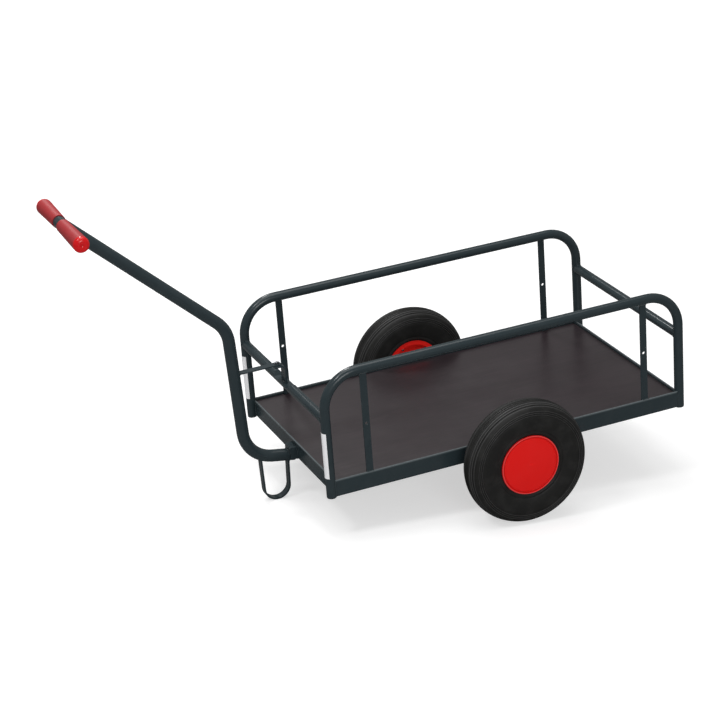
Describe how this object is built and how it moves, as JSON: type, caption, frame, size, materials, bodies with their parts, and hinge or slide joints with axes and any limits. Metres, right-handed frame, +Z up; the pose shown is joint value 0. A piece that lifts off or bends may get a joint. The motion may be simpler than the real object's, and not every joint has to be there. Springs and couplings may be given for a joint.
{
  "type": "hand cart",
  "caption": "Two-wheeled hand cart: a boarded platform between tubular hoops, a cranked drawbar with a red-gripped cross handle, a looped parking stand, and balloon tyres on red wheels.",
  "frame": {"origin": "on the floor, under the middle of the parked cart's bounding box", "axes": "+X forward to the drawbar, +Y to the cart's left, +Z up; the platform is tipped nose-down onto its stand"},
  "size_m": [2.0354, 0.985, 1.0459],
  "materials": {
    "frame_steel": "fine textured powder coat, anthracite",
    "floor_board": "phenolic-faced plywood, dark brown, slightly glossy",
    "tyre_rubber": "matt black rubber",
    "wheel_red": "glossy red paint",
    "grip_red": "soft red plastic",
    "cap_red": "glossy red plastic",
    "reflective": "silver-white reflective film",
    "zinc": "zinc-plated steel"
  },
  "bodies": {
    "cart": {"axle": "zinc", "axle_plate_left": "frame_steel", "axle_plate_right": "frame_steel", "axle_spacer_left": "frame_steel", "axle_spacer_right": "frame_steel", "brace_bolt": "zinc", "brace_bracket": "frame_steel", "cross_rail_front": "frame_steel", "cross_rail_rear": "frame_steel", "drawbar": "frame_steel", "drawbar_brace": "frame_steel", "drawbar_socket": "frame_steel", "end_rail_front": "frame_steel", "end_rail_rear": "frame_steel", "floor_bearer_front": "frame_steel", "floor_bearer_rear": "frame_steel", "floor_ledge_front": "frame_steel", "floor_ledge_left": "frame_steel", "floor_ledge_rear": "frame_steel", "floor_ledge_right": "frame_steel", "floor_panel": "floor_board", "grip_cap_left": "cap_red", "grip_cap_right": "cap_red", "grip_left": "grip_red", "grip_right": "grip_red", "handle_bar": "frame_steel", "hoop_left": "frame_steel", "hoop_right": "frame_steel", "parking_stand": "frame_steel", "reflective_strip_left": "reflective", "reflective_strip_right": "reflective", "side_rail_left": "frame_steel", "side_rail_right": "frame_steel", "upright_front_left": "frame_steel", "upright_front_right": "frame_steel", "upright_rear_left": "frame_steel", "upright_rear_right": "frame_steel"},
    "wheel_left": {"hub_cover_left": "wheel_red", "hub_left": "zinc", "rim_left": "wheel_red", "tyre_left": "tyre_rubber"},
    "wheel_right": {"hub_cover_right": "wheel_red", "hub_right": "zinc", "rim_right": "wheel_red", "tyre_right": "tyre_rubber"}
  },
  "joints": [
    {"name": "wheel_left_spin", "type": "hinge", "parent": "cart", "child": "wheel_left", "pos_m": [-0.3798, 0.443, 0.2065], "axis": [0, 1, 0], "continuous": true},
    {"name": "wheel_right_spin", "type": "hinge", "parent": "cart", "child": "wheel_right", "pos_m": [-0.3798, -0.443, 0.2065], "axis": [0, 1, 0], "continuous": true}
  ]
}
